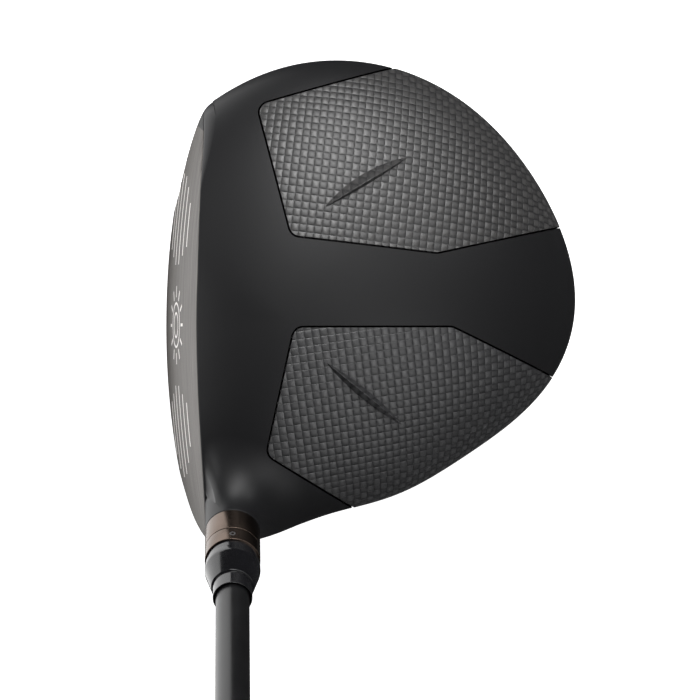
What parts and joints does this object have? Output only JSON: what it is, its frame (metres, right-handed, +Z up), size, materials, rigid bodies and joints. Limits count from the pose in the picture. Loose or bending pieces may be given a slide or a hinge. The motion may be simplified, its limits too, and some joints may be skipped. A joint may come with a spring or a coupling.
{
  "type": "golf driver",
  "caption": "Right-handed golf driver: hollow head with woven crown panels, bulged face, adjustable hosel sleeve, screw-in sole weights, long tapered shaft and rubber grip.",
  "frame": {"origin": "lowest point of the sole, under the top of the crown, with the club soled at address", "axes": "+Z up, -Y the way the face looks, -X towards the toe, +X towards the heel and the grip"},
  "size_m": [0.6933, 0.1097, 0.9966],
  "materials": {
    "body_paint": "satin",
    "face_metal": "satin",
    "carbon": "satin",
    "steel": "satin",
    "nylon": "satin",
    "bronze": "satin",
    "ferrule_black": "gloss",
    "shaft_black": "satin",
    "grip_rubber": "matte",
    "tape": "matte",
    "weight_metal": "satin"
  },
  "bodies": {
    "club": {"shaft": "shaft_black", "shaft_tip_plug": "nylon", "sleeve": "bronze", "ferrule": "ferrule_black", "grip": "grip_rubber", "grip_tape": "tape", "grip_cap": "grip_rubber"},
    "head": {"body_shell": "body_paint", "face_plate": "face_metal", "crown_panel_toe": "carbon", "crown_panel_heel": "carbon", "bolt_retainer": "nylon"},
    "setting_ring": {"setting_ring": "bronze"},
    "bolt_washer": {"bolt_washer": "steel"},
    "hosel_bolt": {"hosel_bolt": "steel"},
    "weight_ring_toe": {"weight_ring_toe": "nylon"},
    "weight_toe": {"weight_toe": "weight_metal"},
    "weight_ring_heel": {"weight_ring_heel": "nylon"},
    "weight_heel": {"weight_heel": "weight_metal"},
    "weight_ring_rear": {"weight_ring_rear": "nylon"},
    "weight_rear": {"weight_rear": "weight_metal"}
  },
  "joints": [
    {"name": "head_release", "type": "slide", "parent": "club", "child": "head", "axis": [-0.515, 0, -0.8572], "range_m": [0, 0.036]},
    {"name": "ring_index", "type": "hinge", "parent": "club", "child": "setting_ring", "pos_m": [0.05572, -0.016, 0.06395], "axis": [0.515, 0, 0.8572], "range_deg": [0, 315]},
    {"name": "bolt_travel", "type": "slide", "parent": "head", "child": "bolt_washer", "axis": [-0.515, 0, -0.8572], "range_m": [0, 0.008]},
    {"name": "bolt_turn", "type": "hinge", "parent": "bolt_washer", "child": "hosel_bolt", "pos_m": [0.0276, -0.016, 0.01714], "axis": [-0.515, 0, -0.8572], "range_deg": [0, 3600]},
    {"name": "weight_toe_travel", "type": "slide", "parent": "head", "child": "weight_ring_toe", "axis": [-0.4598, -0.011, -0.8879], "range_m": [0, 0.0065]},
    {"name": "weight_toe_turn", "type": "hinge", "parent": "weight_ring_toe", "child": "weight_toe", "pos_m": [-0.044, 0.006, 0.01022], "axis": [-0.4598, -0.011, -0.8879], "range_deg": [0, 2340]},
    {"name": "weight_heel_travel", "type": "slide", "parent": "head", "child": "weight_ring_heel", "axis": [0.7276, 0.1293, -0.6737], "range_m": [0, 0.0065]},
    {"name": "weight_heel_turn", "type": "hinge", "parent": "weight_ring_heel", "child": "weight_heel", "pos_m": [0.036, 0.018, 0.01734], "axis": [0.7276, 0.1293, -0.6737], "range_deg": [0, 2340]},
    {"name": "weight_rear_travel", "type": "slide", "parent": "head", "child": "weight_ring_rear", "axis": [-0.0459, 0.395, -0.9175], "range_m": [0, 0.0065]},
    {"name": "weight_rear_turn", "type": "hinge", "parent": "weight_ring_rear", "child": "weight_rear", "pos_m": [-0.006, 0.055, 0.01026], "axis": [-0.0459, 0.395, -0.9175], "range_deg": [0, 2340]}
  ],
  "couplings": [
    {"joint": "bolt_turn", "follows": "bolt_travel", "rad_per_m": 7854},
    {"joint": "weight_toe_turn", "follows": "weight_toe_travel", "rad_per_m": 6283.2},
    {"joint": "weight_heel_turn", "follows": "weight_heel_travel", "rad_per_m": 6283.2},
    {"joint": "weight_rear_turn", "follows": "weight_rear_travel", "rad_per_m": 6283.2}
  ]
}
